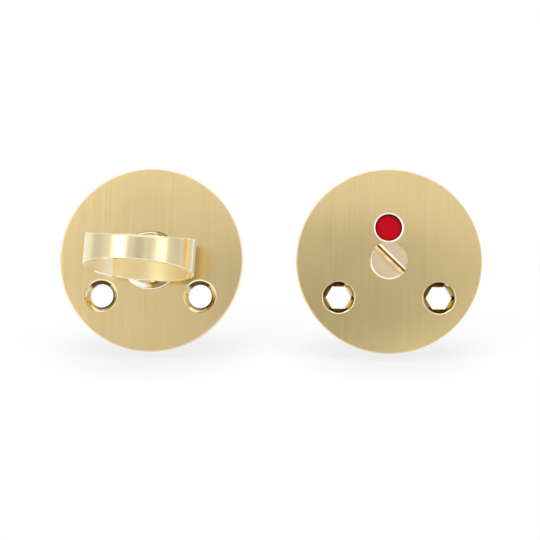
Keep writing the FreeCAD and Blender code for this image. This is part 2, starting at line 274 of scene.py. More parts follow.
class LockStage(PropertyGroup):
    """Camera, floor and studio light."""

    distance: length("Camera distance", "From the lock to the camera", 0.3)
    lens: FloatProperty(name="Lens", description="Focal length", default=73.0, min=1.0,
                        unit="CAMERA")
    azimuth: angle("Azimuth", "Camera to the right of straight ahead", 2.68)
    elevation: angle("Elevation", "Camera below the lock when negative", -5.4)
    roll: angle("Roll", "Camera turned about its line of sight", 0.57)
    aim: FloatVectorProperty(name="Aim", description="Point in the picture's middle", unit="LENGTH",
                             default=(0.0324, 0.0, -0.0024), subtype="TRANSLATION")
    floor_slope: angle("Floor slope", "Fall of the floor towards the camera", 16.0)
    floor_white: level("Floor white", "Share of the floor shown as plain white", 0.80)
    front: level("Light in front", "Studio light from the camera's side", 0.91)
    sides: level("Light at the sides", "Studio light from left and right", 0.70)
    zenith: level("Light above", "Studio light from straight above", 0.80)
    left_box: level("Left box", "Light that the left softbox adds", 1.3)
    right_box: level("Right box", "Light that the right softbox adds", 0.8)
    camera_dark: level("Camera body", "Shade of the camera's body", 0.45)
    person_dark: level("Photographer", "Shade of the one behind the camera", 0.56)
    stand_dark: level("Stands", "Shade of the stands beside the camera", 0.74)
    lamp: level("Lamp", "Brightness of the lamp above", 1.5)


def settings(context):
    """The lock's sizes and colours."""
    return context.scene.lock_sizes, context.scene.lock_colours


# Meshes

def spun(points, steps, axis=Y_AXIS, closed=False):
    """Shell turned about an axis from points given as radius and place along the axis."""
    mesh = bmesh.new()
    corners = [mesh.verts.new(Vector((radius, 0, 0)) + axis * place) for radius, place in points]
    ends = corners[1:] + corners[:1] if closed else corners[1:]
    outline = [mesh.edges.new(pair) for pair in zip(corners, ends)]
    bmesh.ops.spin(mesh, geom=corners + outline, cent=(0, 0, 0), axis=axis, dvec=(0, 0, 0),
                   angle=2 * math.pi, steps=steps, use_merge=True, use_duplicate=False)
    bmesh.ops.remove_doubles(mesh, verts=mesh.verts, dist=WELD)
    poles = [vert for vert in mesh.verts if len(vert.link_edges) >= steps]
    bmesh.ops.dissolve_verts(mesh, verts=poles)
    bmesh.ops.recalc_face_normals(mesh, faces=mesh.faces)
    return mesh


def rod(radius, start, end, steps=SMALL_STEPS, axis=Y_AXIS):
    """Solid rod along an axis."""
    return spun([(0, start), (radius, start), (radius, end), (0, end)], steps, axis)


def groove(inner, outer, start, end):
    """Ring-shaped cutter about the Y axis."""
    return spun([(inner, start), (outer, start), (outer, end), (inner, end)], SMALL_STEPS,
                closed=True)


def block(low, high):
    """Rectangular block between two corners."""
    mesh = bmesh.new()
    bmesh.ops.create_cube(mesh, size=1.0)
    size = [upper - lower for lower, upper in zip(low, high)]
    centre = [(lower + upper) / 2 for lower, upper in zip(low, high)]
    bmesh.ops.scale(mesh, vec=size, verts=mesh.verts)
    bmesh.ops.translate(mesh, vec=centre, verts=mesh.verts)
    return mesh


def square_bar(width, start, end):
    """Square bar along Y."""
    return block((-width / 2, start, -width / 2), (width / 2, end, width / 2))


def shifted(mesh, across=0.0, along=0.0, up=0.0):
    """The mesh moved along X, Y and Z."""
    bmesh.ops.translate(mesh, vec=(across, along, up), verts=mesh.verts)
    return mesh


def turned(mesh, turn, axis="Y"):
    """The mesh turned about an axis through the origin."""
    bmesh.ops.rotate(mesh, cent=(0, 0, 0), matrix=Matrix.Rotation(turn, 3, axis),
                     verts=mesh.verts)
    return mesh


def circle(mesh, radius, place, across=0.0, up=0.0):
    """Edges of one circle about a line along Y."""
    def on_it(vert):
        reach = math.hypot(vert.co.x - across, vert.co.z - up)
        return abs(reach - radius) < TOUCH and abs(vert.co.y - place) < TOUCH
    return [edge for edge in mesh.edges if on_it(edge.verts[0]) and on_it(edge.verts[1])]


def rounded(mesh, edges, width, segments=4):
    """Round the given edges."""
    bmesh.ops.bevel(mesh, geom=edges, offset=width, offset_type="OFFSET", affect="EDGES",
                    segments=segments, profile=0.5, material=-1)


def cut_off(mesh, point, normal):
    """Take away what lies beyond a plane, and give the open edges that this leaves."""
    cut = bmesh.ops.bisect_plane(mesh, geom=mesh.verts[:] + mesh.edges[:] + mesh.faces[:],
                                 plane_co=point, plane_no=normal, clear_outer=True)
    return [item for item in cut["geom_cut"] if isinstance(item, bmesh.types.BMEdge)]


def placed(mesh, name, materials):
    """Object made of the mesh."""
    data = bpy.data.meshes.new(name)
    mesh.to_mesh(data)
    mesh.free()
    for material in materials:
        data.materials.append(material)
    piece = bpy.data.objects.new(name, data)
    bpy.context.scene.collection.objects.link(piece)
    return piece


def settle(piece):
    """Turn the piece's modifiers into its mesh."""
    before = piece.data
    graph = bpy.context.evaluated_depsgraph_get()
    after = bpy.data.meshes.new_from_object(piece.evaluated_get(graph))
    piece.modifiers.clear()
    piece.data = after
    bpy.data.meshes.remove(before)
    after.name = piece.name


def carve(piece, cutters):
    """Take the cutters out of the piece; the cut faces have its second material or a later one."""
    tools = []
    for cutter in cutters:
        for face in cutter.faces:
            face.material_index = max(1, face.material_index)
        tool = placed(cutter, "cutter", piece.data.materials)
        modifier = piece.modifiers.new("carve", "BOOLEAN")
        modifier.operation = "DIFFERENCE"
        modifier.solver = "EXACT"
        modifier.object = tool
        tools.append(tool)
    settle(piece)
    for tool in tools:
        data = tool.data
        bpy.data.objects.remove(tool)
        bpy.data.meshes.remove(data)
    mesh = bmesh.new()
    mesh.from_mesh(piece.data)
    bmesh.ops.dissolve_limit(mesh, angle_limit=FLAT_ANGLE, verts=mesh.verts, edges=mesh.edges,
                             use_dissolve_boundaries=False, delimit={"MATERIAL"})
    mesh.to_mesh(piece.data)
    mesh.free()


def soften(piece, circles, width):
    """Round circles of the carved piece, each given as its radius, place and centre."""
    mesh = bmesh.new()
    mesh.from_mesh(piece.data)
    for picked in circles:
        edges = circle(mesh, *picked)
        if not edges:
            raise RuntimeError(f"{piece.name} has no rim at {picked}")
        rounded(mesh, edges, width, 3)
    mesh.to_mesh(piece.data)
    mesh.free()


def finish_piece(piece, body, node):
    """Shade the piece evenly, put it in the place of its CAD node and let it ride on its body."""
    piece.data.shade_smooth()
    piece.data.set_sharp_from_angle(angle=SHARP_ANGLE)
    even = piece.modifiers.new("even shading", "WEIGHTED_NORMAL")
    even.keep_sharp = True
    settle(piece)
    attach(piece, body)
    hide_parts(node)


# Shader nodes

def add(tree, kind, inputs=None, **options):
    """A node with its options, each input given a value or linked from a socket."""
    made = tree.nodes.new(kind)
    for key, value in options.items():
        setattr(made, key, value)
    for key, value in (inputs or {}).items():
        if isinstance(value, bpy.types.NodeSocket):
            tree.links.new(value, made.inputs[key])
        else:
            made.inputs[key].default_value = value
    return made


def maths(tree, operation, *values):
    """Result of one operation on numbers."""
    inputs = dict(enumerate(values))
    return add(tree, "ShaderNodeMath", inputs, operation=operation).outputs[0]


def split(tree, vector):
    """X, Y and Z of a vector."""
    return add(tree, "ShaderNodeSeparateXYZ", {"Vector": vector}).outputs


def joined(tree, **parts):
    """Vector of the given X, Y and Z."""
    return add(tree, "ShaderNodeCombineXYZ", parts).outputs[0]


def reach_of(tree, vector):
    """Length of a vector."""
    return add(tree, "ShaderNodeVectorMath", {0: vector}, operation="LENGTH").outputs["Value"]


def seen_from(tree, place, centre, rotation=(0, 0, 0)):
    """Coordinates about another centre."""
    return add(tree, "ShaderNodeMapping", {"Vector": place, "Location": centre,
                                           "Rotation": rotation}, vector_type="TEXTURE").outputs[0]


def between(tree, value, low, high, start=0.0, end=1.0, ease="LINEAR"):
    """Value brought from the range between start and end to the one between low and high."""
    return add(tree, "ShaderNodeMapRange", {"Value": value, "From Min": start, "From Max": end,
                                            "To Min": low, "To Max": high},
               interpolation_type=ease).outputs[0]


def eased(tree, value, start, end):
    """Share from 0 at the start to 1 at the end."""
    return between(tree, value, 0.0, 1.0, start, end, "SMOOTHSTEP")


def mix(tree, factor, first, second, blend="MIX"):
    """Two colours mixed."""
    return add(tree, "ShaderNodeMix", {"Factor": factor, 6: first, 7: second},
               data_type="RGBA", blend_type=blend).outputs[2]


def noise(tree, vector, scale, detail=2.0, roughness=0.5):
    """Soft noise."""
    return add(tree, "ShaderNodeTexNoise", {"Vector": vector, "Scale": scale, "Detail": detail,
                                            "Roughness": roughness}).outputs[0]


def bumps(tree, height, depth, strength=1.0):
    """Normal bent by a height."""
    return add(tree, "ShaderNodeBump", {"Strength": strength, "Distance": depth,
                                        "Height": height}).outputs[0]


def shades(tree, factor, tint, darker, lighter):
    """Colour between a darker and a lighter shade of a tint."""
    low = [channel * darker for channel in tint] + [1.0]
    high = [min(1.0, channel * lighter) for channel in tint] + [1.0]
    return mix(tree, factor, low, high)


def node_group(name, inputs, outputs):
    """Turn a function of a tree and its given inputs into one that gives a node group."""
    def wrap(build):
        def group():
            if name in bpy.data.node_groups:
                return bpy.data.node_groups[name]
            tree = bpy.data.node_groups.new(name, "ShaderNodeTree")
            for side, sockets in (("INPUT", inputs), ("OUTPUT", outputs)):
                for label, kind in sockets.items():
                    tree.interface.new_socket(name=label, in_out=side,
                                              socket_type="NodeSocket" + kind)
            add(tree, "NodeGroupOutput", build(tree, add(tree, "NodeGroupInput").outputs))
            return tree
        return group
    return wrap


def use(tree, group, inputs):
    """Results of a node group."""
    return add(tree, "ShaderNodeGroup", inputs, node_tree=group()).outputs


@node_group("Brush lines",
            {"Vector": "Vector", "Lines per metre": "Float", "Length in lines": "Float"},
            {"Tone": "Float", "Height": "Float"})
def brush_lines(tree, given):
    """Fine lines that run along the vector's Z axis, with their tone and height."""
    scaled = add(tree, "ShaderNodeVectorMath", {0: given["Vector"],
                                                "Scale": given["Lines per metre"]},
                 operation="SCALE")
    parts = split(tree, scaled.outputs["Vector"])
    along = maths(tree, "DIVIDE", parts["Z"], given["Length in lines"])
    drawn = joined(tree, X=parts["X"], Y=parts["Y"], Z=along)
    fine = noise(tree, drawn, 1.0, 3.0, 0.6)
    broad = noise(tree, drawn, 0.5)
    both = add(tree, "ShaderNodeMix", {"Factor": 0.5, 2: fine, 3: broad}).outputs[0]
    return {"Tone": between(tree, both, 0.0, 1.0, 0.35, 0.65), "Height": fine}


@node_group("Lathe vector", {"Vector": "Vector", "Radius": "Float"}, {"Vector": "Vector"})
def lathe_vector(tree, given):
    """A point as radius, place and arc about its Y axis, so that brush lines run round."""
    parts = split(tree, given["Vector"])
    reach = reach_of(tree, joined(tree, X=parts["X"], Z=parts["Z"]))
    turn = maths(tree, "ARCTAN2", parts["X"], parts["Z"])
    arc = maths(tree, "MULTIPLY", turn, given["Radius"])
    return {"Vector": joined(tree, X=reach, Y=parts["Y"], Z=arc)}


@node_group("Soft drift", {"Vector": "Vector", "Patches per metre": "Float"}, {"Drift": "Float"})
def soft_drift(tree, given):
    """Slow change of tone over the surface, as left by handling and lacquer."""
    cloud = noise(tree, given["Vector"], given["Patches per metre"], 2.0, 0.45)
    return {"Drift": between(tree, cloud, 0.0, 1.0, 0.3, 0.7)}


@node_group("Hole side",
            {"Vector": "Vector", "Half spacing": "Float", "Drop": "Float", "Turn": "Float"},
            {"Side": "Float"})
def hole_side(tree, given):
    """How far a point lies to one side of the nearer of two axes along Y, from -1 to 1."""
    parts = split(tree, given["Vector"])
    centre = maths(tree, "MULTIPLY", maths(tree, "SIGN", parts["X"]), given["Half spacing"])
    across = maths(tree, "SUBTRACT", parts["X"], centre)
    up = maths(tree, "ADD", parts["Z"], given["Drop"])
    back = add(tree, "ShaderNodeVectorRotate", {"Vector": joined(tree, X=across, Z=up),
                                                "Angle": given["Turn"]}, rotation_type="Y_AXIS")
    outward = add(tree, "ShaderNodeVectorMath", {0: back.outputs[0]}, operation="NORMALIZE")
    return {"Side": split(tree, outward.outputs[0])["Z"]}


# Materials

def cleared(owner):
    """Empty node tree of a material or world."""
    owner.use_nodes = True
    owner.node_tree.nodes.clear()
    return owner.node_tree


def started(name):
    """A new material with an empty tree, and its object coordinates."""
    material = bpy.data.materials.new(name)
    tree = cleared(material)
    return material, tree, add(tree, "ShaderNodeTexCoord").outputs["Object"]


def surfaced(tree, base, roughness, normal=None, **plain):
    """Principled shader, its plain values set on its own sockets."""
    inputs = {"Base Color": base, "Roughness": roughness}
    if normal is not None:
        inputs["Normal"] = normal
    inputs.update({key.replace("_", " ").title(): value for key, value in plain.items()})
    shader = add(tree, "ShaderNodeBsdfPrincipled", inputs)
    add(tree, "ShaderNodeOutputMaterial", {"Surface": shader.outputs[0]})
    return shader


def drifting(tree, place, per_metre):
    """Slow drift over the surface."""
    return use(tree, soft_drift, {"Vector": place, "Patches per metre": per_metre})[0]


def patched(tree, base, place, drift, patches, centre=0.0, spacing=0.0, drop=0.0):
    """Colour with patches of painted highlight, reflection and shade round one axis along Y or round
    two side by side.
    """
    centred = seen_from(tree, place, (centre, 0, 0))
    for turn, low, high, tint in patches:
        side = use(tree, hole_side, {"Vector": centred, "Half spacing": spacing / 2,
                                     "Drop": drop, "Turn": -math.radians(turn)})[0]
        frayed = maths(tree, "MULTIPLY_ADD", drift, PATCH_FRAY, side)
        share = eased(tree, frayed, low + PATCH_FRAY / 2, high + PATCH_FRAY / 2)
        other = getattr(bpy.context.scene.lock_colours, tint)
        base = mix(tree, share, base, [*other, 1.0])
    return base


def brushed_metal(name, tint, centre=(0, 0, 0), rotation=(0, 0, 0), lathe=None, lines=2600.0,
                  reach=30.0, roughness=(0.24, 0.28), tones=(0.985, 1.015), depth=0.002 * MM,
                  patches=(), **plain):
    """Metal with fine lines: straight up the piece, or round its Y axis on a lathe radius."""
    material, tree, place = started(name)
    place = way = seen_from(tree, place, centre, rotation)
    drift = drifting(tree, place, 90.0)
    if lathe:
        way = use(tree, lathe_vector, {"Vector": place, "Radius": lathe})[0]
    brush = use(tree, brush_lines, {"Vector": way, "Lines per metre": lines,
                                    "Length in lines": reach})
    mixed = add(tree, "ShaderNodeMix", {"Factor": 0.35, 2: brush["Tone"], 3: drift}).outputs[0]
    # Patches, where given, are painted highlights, reflections and shade
    base = patched(tree, shades(tree, mixed, tint, *tones), place, 0.5, patches)
    surfaced(tree, base, between(tree, mixed, *roughness),
             bumps(tree, brush["Height"], depth), metallic=1.0, **plain)
    return material


def bright_metal(name, tint, roughness=(0.07, 0.14), **plain):
    """Freshly cut metal with a little drift in its shine."""
    material, tree, place = started(name)
    drift = drifting(tree, place, 700.0)
    surfaced(tree, shades(tree, drift, tint, 0.94, 1.04), between(tree, drift, *roughness),
             metallic=1.0, **plain)
    return material


def patched_metal(name, tint, patches, tones, roughness=(0.10, 0.20), edge=(1.0, 1.0, 1.0), **axes):
    """Raw metal with patches of painted highlight, reflection and shade round its holes or its rim.
    """
    material, tree, place = started(name)
    drift = drifting(tree, place, 900.0)
    base = patched(tree, shades(tree, drift, tint, *tones), place, drift, patches, **axes)
    surfaced(tree, base, between(tree, drift, *roughness), metallic=1.0,
             specular_tint=(*edge, 1.0))
    return material


def slope_metal(name, tint, foot, start, end):
    """Faced metal that turns to another tint from one level along Y to another; on the coin slot
    this is painted light, darker at the slot's edge and lighter deeper down.
    """
    material, tree, place = started(name)
    drift = drifting(tree, place, 900.0)
    share = eased(tree, split(tree, place)["Y"], start, end)
    base = mix(tree, share, [*tint, 1.0], shades(tree, drift, foot, 0.8, 1.3))
    surfaced(tree, base, between(tree, drift, 0.18, 0.26), metallic=1.0)
    return material


def plated_steel(name, tint, roughness, per_metre):
    """Bright or plated steel with soft patches and a fine grain."""
    material, tree, place = started(name)
    drift = drifting(tree, place, per_metre)
    grain = bumps(tree, noise(tree, place, 4200.0), 0.004 * MM, 0.5)
    surfaced(tree, shades(tree, drift, tint, 0.88, 1.08), between(tree, drift, *roughness),
             grain, metallic=1.0)
    return material


def nylon_material(tint):
    """Natural nylon with a faint moulded grain."""
    material, tree, place = started("natural_nylon")
    drift = drifting(tree, place, 400.0)
    grain = bumps(tree, noise(tree, place, 3000.0, 3.0), 0.01 * MM, 0.4)
    surfaced(tree, shades(tree, drift, tint, 0.94, 1.03), between(tree, drift, 0.38, 0.52), grain)
    return material


def indicator_material(sizes, colours):
    """Enamel: occupied fields above and below, vacant ones beside, each with a painted shadow on its
    front towards the window's rim.
    """
    material, tree, place = started("enamelled_fields")
    parts = split(tree, seen_from(tree, place, (sizes.halves, 0, 0)))
    across = maths(tree, "ABSOLUTE", parts["X"])
    up = maths(tree, "ABSOLUTE", parts["Z"])
    drift = drifting(tree, place, 320.0)
    fields = mix(tree, maths(tree, "LESS_THAN", across, up),
                 shades(tree, drift, colours.vacant, 0.97, 1.02),
                 shades(tree, drift, colours.occupied, 0.90, 1.08))
    # Painted shadow: each field darker on its front towards the window's rim
    far = maths(tree, "SUBTRACT", maths(tree, "MAXIMUM", across, up), sizes.window_rise)
    near = maths(tree, "MINIMUM", across, up)
    rim = eased(tree, reach_of(tree, joined(tree, X=far, Y=near)),
                sizes.window - 0.7 * MM, sizes.window + 0.1 * MM)
    on_front = maths(tree, "LESS_THAN", parts["Y"], (DISC[0].y + DISC[1].y) / 2)
    window_rim_shadow = between(tree, maths(tree, "MULTIPLY", rim, on_front), 1.0, 0.35)
    grain = bumps(tree, noise(tree, place, 1500.0), 0.012 * MM, 0.5)
    shader = surfaced(tree, mix(tree, 1.0, fields, window_rim_shadow, "MULTIPLY"),
                      between(tree, drift, 0.36, 0.46), grain)
    shader.inputs["Specular IOR Level"].default_value = 0.06
    return material


# Pieces

def mouth_cutter(sizes, radius, depth, end):
    """Shallow lip, the funnel under it down to a radius, and a round hole on to the end."""
    front = -sizes.rose_thickness
    lip_end = front + sizes.lip_depth
    outer = sizes.mouth + OVERSHOOT * sizes.lip_width / sizes.lip_depth
    mesh = spun([(0, front - OVERSHOOT), (outer, front - OVERSHOOT),
                 (sizes.mouth - sizes.lip_width, lip_end), (radius, lip_end + depth),
                 (radius, end), (0, end)], SMALL_STEPS)
    for face in mesh.faces:
        face.material_index = 2 if face.calc_center_median().y > lip_end else 1
    return mesh


def window_cutter(sizes):
    """Round hole with a bevel at the front."""
    front = -sizes.rose_thickness
    bevel_end = front + sizes.window_bevel_depth
    outer = (sizes.window + sizes.window_bevel
             + OVERSHOOT * sizes.window_bevel / sizes.window_bevel_depth)
    mesh = spun([(0, front - OVERSHOOT), (outer, front - OVERSHOOT), (sizes.window, bevel_end),
                 (sizes.window, OVERSHOOT), (0, OVERSHOOT)], SMALL_STEPS)
    # The wall takes the holes' painted dark shade and the bevel a painted highlight
    for face in mesh.faces:
        face.material_index = 2 if face.calc_center_median().y > bevel_end else 3
    return mesh


def rose_plate(sizes, name, materials, cutters, hole_cutters):
    """Round plate without its cutters and, at both screws, without those of a hole."""
    front = -sizes.rose_thickness
    mesh = rod(sizes.rose_radius, front, 0, FINE_STEPS)
    rounded(mesh, circle(mesh, sizes.rose_radius, front), sizes.rose_edge)
    piece = placed(mesh, name, materials)
    mouths = []
    for place in (-sizes.screw_spacing / 2, sizes.screw_spacing / 2):
        cutters += [shifted(cutter, across=place, up=-sizes.screw_drop)
                    for cutter in hole_cutters()]
        mouths.append((sizes.mouth, front, place, -sizes.screw_drop))
    carve(piece, cutters)
    soften(piece, mouths, sizes.mouth_edge)
    return piece


def rose_face(colours):
    """Upright brushed brass of a rose."""
    return brushed_metal("upright_brushed_brass", colours.rose_brass, reach=60.0,
                         roughness=(0.15, 0.19), tones=(0.955, 1.045), anisotropic=0.5,
                         coat_weight=0.4, coat_roughness=0.15)


class LOCK_OT_inside_rose(Operator):
    """Make the inside rose with its stepped bore and two countersunk screw holes"""

    bl_idname = "lock.inside_rose"
    bl_label = "Inside Rose"
    bl_options = {"REGISTER", "UNDO"}

    def execute(self, context):
        sizes, colours = settings(context)
        axes = {"spacing": sizes.screw_spacing, "drop": sizes.screw_drop}
        materials = [
            rose_face(colours),
            # Screw lips in painted shade with a painted highlight above; countersinks with painted
            # glints and a painted dark arc
            patched_metal("screw_lip_painted_light", colours.lip_brass, PAINTED_HIGHLIGHT_SCREW_LIP, (0.95, 1.05), **axes),
            patched_metal("screw_hole_painted_light", colours.cone_brass, PAINTED_LIGHT_SCREW_HOLE, (0.8, 1.15), **axes)]
        bores = [rod(sizes.bush_bore, -sizes.rose_thickness - OVERSHOOT, OVERSHOOT),
                 rod(sizes.bush_step, -sizes.bush_step_depth, OVERSHOOT)]
        funnel = sizes.mouth - sizes.lip_width - sizes.screw_hole
        piece = rose_plate(sizes, "inside_plate", materials, bores, lambda: [
            mouth_cutter(sizes, sizes.screw_hole, funnel, OVERSHOOT)])
        finish_piece(piece, "root", "inside_rose")
        return {"FINISHED"}


class LOCK_OT_outside_rose(Operator):
    """Make the outside rose with its window, disc recess and two hexagonal nut holes"""

    bl_idname = "lock.outside_rose"
    bl_label = "Outside Rose"
    bl_options = {"REGISTER", "UNDO"}

    def execute(self, context):
        sizes, colours = settings(context)
        axes = {"spacing": sizes.screw_spacing, "drop": sizes.screw_drop, "centre": sizes.halves}
        materials = [
            rose_face(colours),
            # Nut lips pale as a painted highlight with painted shade at the top; nut holes in
            # painted dark shade with painted glints; window bevel a painted highlight
            patched_metal("nut_lip_painted_light", colours.nut_lip_painted_light, PAINTED_SHADE_NUT_LIP, (0.9, 1.0), **axes),
            patched_metal("nut_hole_painted_light", colours.painted_hole_shade, PAINTED_LIGHT_NUT_HOLE, (0.35, 1.7),
                          edge=(0.7, 0.5, 0.25), **axes),
            bright_metal("window_bevel_painted_highlight", colours.highlight_white, (0.20, 0.26), sheen_weight=1.0,
                         sheen_roughness=0.4)]
        start = -sizes.rose_thickness - OVERSHOOT
        bores = [rod(sizes.release_shaft + sizes.play, start, OVERSHOOT),
                 rod(DISC_RADIUS + sizes.disc_gap, sizes.front_web - sizes.rose_thickness,
                     OVERSHOOT, FINE_STEPS),
                 shifted(window_cutter(sizes), up=sizes.window_rise)]
        funnel_end = -sizes.rose_thickness + sizes.lip_depth + sizes.hex_funnel + WELD
        piece = rose_plate(sizes, "outside_plate", materials, bores, lambda: [
            rod(sizes.hex_flats / math.sqrt(3), start, OVERSHOOT, steps=6),
            mouth_cutter(sizes, sizes.hex_flats / 2, sizes.hex_funnel, funnel_end)])
        piece.data.transform(Matrix.Translation((sizes.halves, 0, 0)))
        finish_piece(piece, "root", "outside_rose")
        return {"FINISHED"}


class LOCK_OT_finger_ring(Operator):
    """Make the tapered finger ring of the thumb turn"""

    bl_idname = "lock.finger_ring"
    bl_label = "Finger Ring"
    bl_options = {"REGISTER", "UNDO"}

    def execute(self, context):
        sizes, colours = settings(context)
        inner = sizes.ring_radius - sizes.ring_wall
        half = sizes.ring_back / 2 + OVERSHOOT
        slope = (sizes.ring_back - sizes.ring_front) / (4 * sizes.ring_radius)
        middle = (sizes.ring_back + sizes.ring_front) / 4
        mesh = spun([(inner, -half), (sizes.ring_radius, -half), (sizes.ring_radius, half),
                     (inner, half)], FINE_STEPS, Z_AXIS, closed=True)
        for side in (-1, 1):
            bmesh.ops.bridge_loops(
                mesh, edges=cut_off(mesh, (0, 0, side * middle), (0, -slope, side)))
        bmesh.ops.recalc_face_normals(mesh, faces=mesh.faces)
        rims = [edge for edge in mesh.edges if edge.calc_face_angle(0) > SHARP_ANGLE]
        rounded(mesh, rims, sizes.ring_edge)
        for face in mesh.faces:
            place = face.calc_center_median()
            within = math.hypot(place.x, place.y) < inner + TOUCH
            # The band's top and bottom rims take a painted highlight
            face.material_index = 2 if abs(face.normal.z) > RIM_SLANT else int(within)
        shifted(mesh, along=RING_CENTRE)
        upright = {"centre": (0, RING_CENTRE, 0), "rotation": (math.pi / 2, 0, 0),
                   "lathe": sizes.ring_radius, "lines": 2400.0, "depth": 0.0006 * MM,
                   "coat_weight": 0.4}
        # Band and inside with painted reflections, rims in a painted highlight
        band = brushed_metal("pale_satin_brass", colours.turn_brass, reach=40.0,
                             roughness=(0.19, 0.22), patches=PAINTED_LIGHT_BAND_OUTSIDE, anisotropic=0.3,
                             anisotropic_rotation=0.25, coat_roughness=0.2, sheen_weight=1.0,
                             sheen_roughness=0.2, **upright)
        inside = brushed_metal("satin_brass_inside", colours.inner_brass,
                               roughness=(0.42, 0.48), patches=PAINTED_LIGHT_BAND_INSIDE, coat_roughness=0.3,
                               sheen_weight=0.6, sheen_roughness=0.3, **upright)
        rim = bright_metal("ring_rim_painted_highlight", colours.highlight_white, (0.10, 0.16))
        piece = placed(turned(mesh, REST_TURN), "finger_ring", [band, inside, rim])
        finish_piece(piece, "thumb_turn", "turn_ring")
        return {"FINISHED"}


class LOCK_OT_turned_boss(Operator):
    """Make the turned boss that carries the ring, with its shaft, socket and groove"""

    bl_idname = "lock.turned_boss"
    bl_label = "Turned Boss"
    bl_options = {"REGISTER", "UNDO"}

    def execute(self, context):
        sizes, colours = settings(context)
        flange_back = -sizes.rose_thickness - sizes.play
        flange_front = flange_back - sizes.flange_thickness
        end = BOSS[1].y
        mesh = spun([(0, end), (sizes.turn_shaft, end), (sizes.turn_shaft, flange_back),
                     (sizes.flange, flange_back), (sizes.flange, flange_front),
                     (sizes.neck, flange_front), (sizes.neck, RING_CENTRE), (0, RING_CENTRE)],
                    SMALL_STEPS)
        rounded(mesh, circle(mesh, sizes.flange, flange_front), sizes.flange_edge)
        rounded(mesh, circle(mesh, sizes.neck, flange_front), sizes.flare, 8)
        rounded(mesh, circle(mesh, sizes.turn_shaft, end), sizes.shaft_edge, 1)
        # The flange's outer rim takes a painted highlight with painted shade at its top
        for face in mesh.faces:
            place = face.calc_center_median()
            outer = math.hypot(place.x, place.z) > sizes.flange - sizes.flange_edge
            face.material_index = 2 if outer and place.y < flange_front + sizes.flange_edge else 0
        # Boss with painted shade and highlight; flange rim a painted highlight with painted shade at
        # its top
        piece = placed(mesh, "turned_boss", [
            brushed_metal("turned_brass", colours.boss_brass, lathe=sizes.neck, lines=3000.0,
                          reach=80.0, roughness=(0.08, 0.14), patches=PAINTED_LIGHT_BOSS_FACE,
                          coat_weight=0.4, coat_roughness=0.2),
            bright_metal("bright_cut_boss", colours.bright_brass),
            patched_metal("flange_rim_painted_light", colours.highlight_white, PAINTED_SHADE_FLANGE_RIM, (0.95, 1.05))])
        saddle = rod(sizes.ring_radius, -sizes.ring_back, sizes.ring_back, FINE_STEPS, Z_AXIS)
        clip_seat = groove(sizes.turn_shaft - sizes.clip_depth, sizes.turn_shaft + OVERSHOOT,
                           TURN_CLIP[0].y, TURN_CLIP[1].y)
        cross = turned(rod(sizes.pin, -sizes.flange, sizes.flange, PIN_STEPS), math.pi / 2, "Z")
        socket = square_bar(sizes.spindle + 2 * sizes.play, end - sizes.grip, end + OVERSHOOT)
        carve(piece, [shifted(saddle, along=RING_CENTRE), clip_seat,
                      shifted(cross, along=(end + TURN_CLIP[1].y) / 2), socket])
        piece.data.transform(Matrix.Rotation(REST_TURN, 4, "Y"))
        finish_piece(piece, "thumb_turn", "turn_hub")
        return {"FINISHED"}


